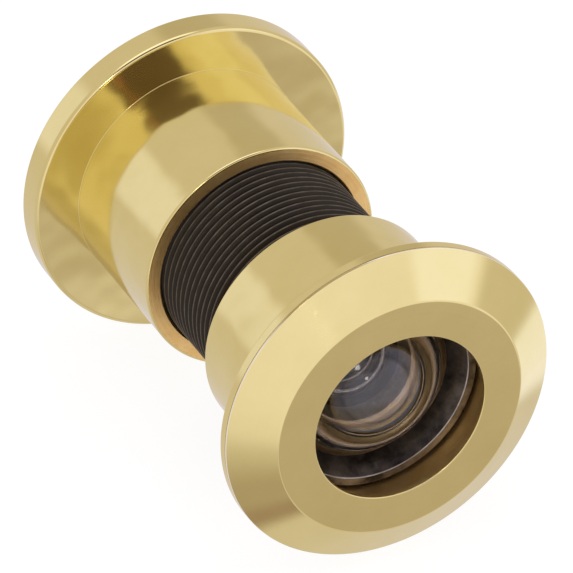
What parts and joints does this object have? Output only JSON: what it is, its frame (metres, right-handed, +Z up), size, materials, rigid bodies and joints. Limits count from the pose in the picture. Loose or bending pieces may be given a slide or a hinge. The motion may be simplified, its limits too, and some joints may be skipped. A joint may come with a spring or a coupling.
{
  "type": "door viewer",
  "caption": "Wide-angle door viewer: two bevelled brass flanges with hubs on a black threaded barrel that holds a domed glass objective and an eyepiece.",
  "frame": {"origin": "on the viewer's axis, at the face of the outdoor flange that lies against the door", "axes": "+Y along the viewer's axis, from outdoors to indoors; +Z up; +X to the right when seen from outdoors"},
  "size_m": [0.041, 0.06, 0.041],
  "materials": {
    "polished_brass": "polished and lacquered",
    "dull_brass": "turned, tarnished",
    "black_barrel": "satin black",
    "black_rubber": "matt",
    "clear_glass": "polished"
  },
  "bodies": {
    "exterior": {"exterior_head": "polished_brass", "threaded_barrel": "black_barrel", "front_gasket": "black_rubber", "objective_lens": "clear_glass", "objective_spacer": "dull_brass", "second_lens": "clear_glass", "second_spacer": "black_barrel", "third_lens": "clear_glass", "objective_retaining_ring": "black_barrel"},
    "eyepiece": {"eyepiece_tube": "black_barrel", "eyepiece_seal": "black_rubber", "eyepiece_lens": "clear_glass"},
    "interior": {"interior_head": "polished_brass", "eyepiece_retaining_ring": "black_barrel"}
  },
  "joints": [
    {"name": "indoor_advance", "type": "slide", "parent": "exterior", "child": "eyepiece", "axis": [0, -1, 0], "range_m": [-0.002, 0.015]},
    {"name": "indoor_turn", "type": "hinge", "parent": "eyepiece", "child": "interior", "pos_m": [0, 0.0488, 0], "axis": [0, -1, 0], "range_deg": [-681, 5103]}
  ],
  "couplings": [
    {"joint": "indoor_turn", "follows": "indoor_advance", "rad_per_m": 5937.1}
  ]
}
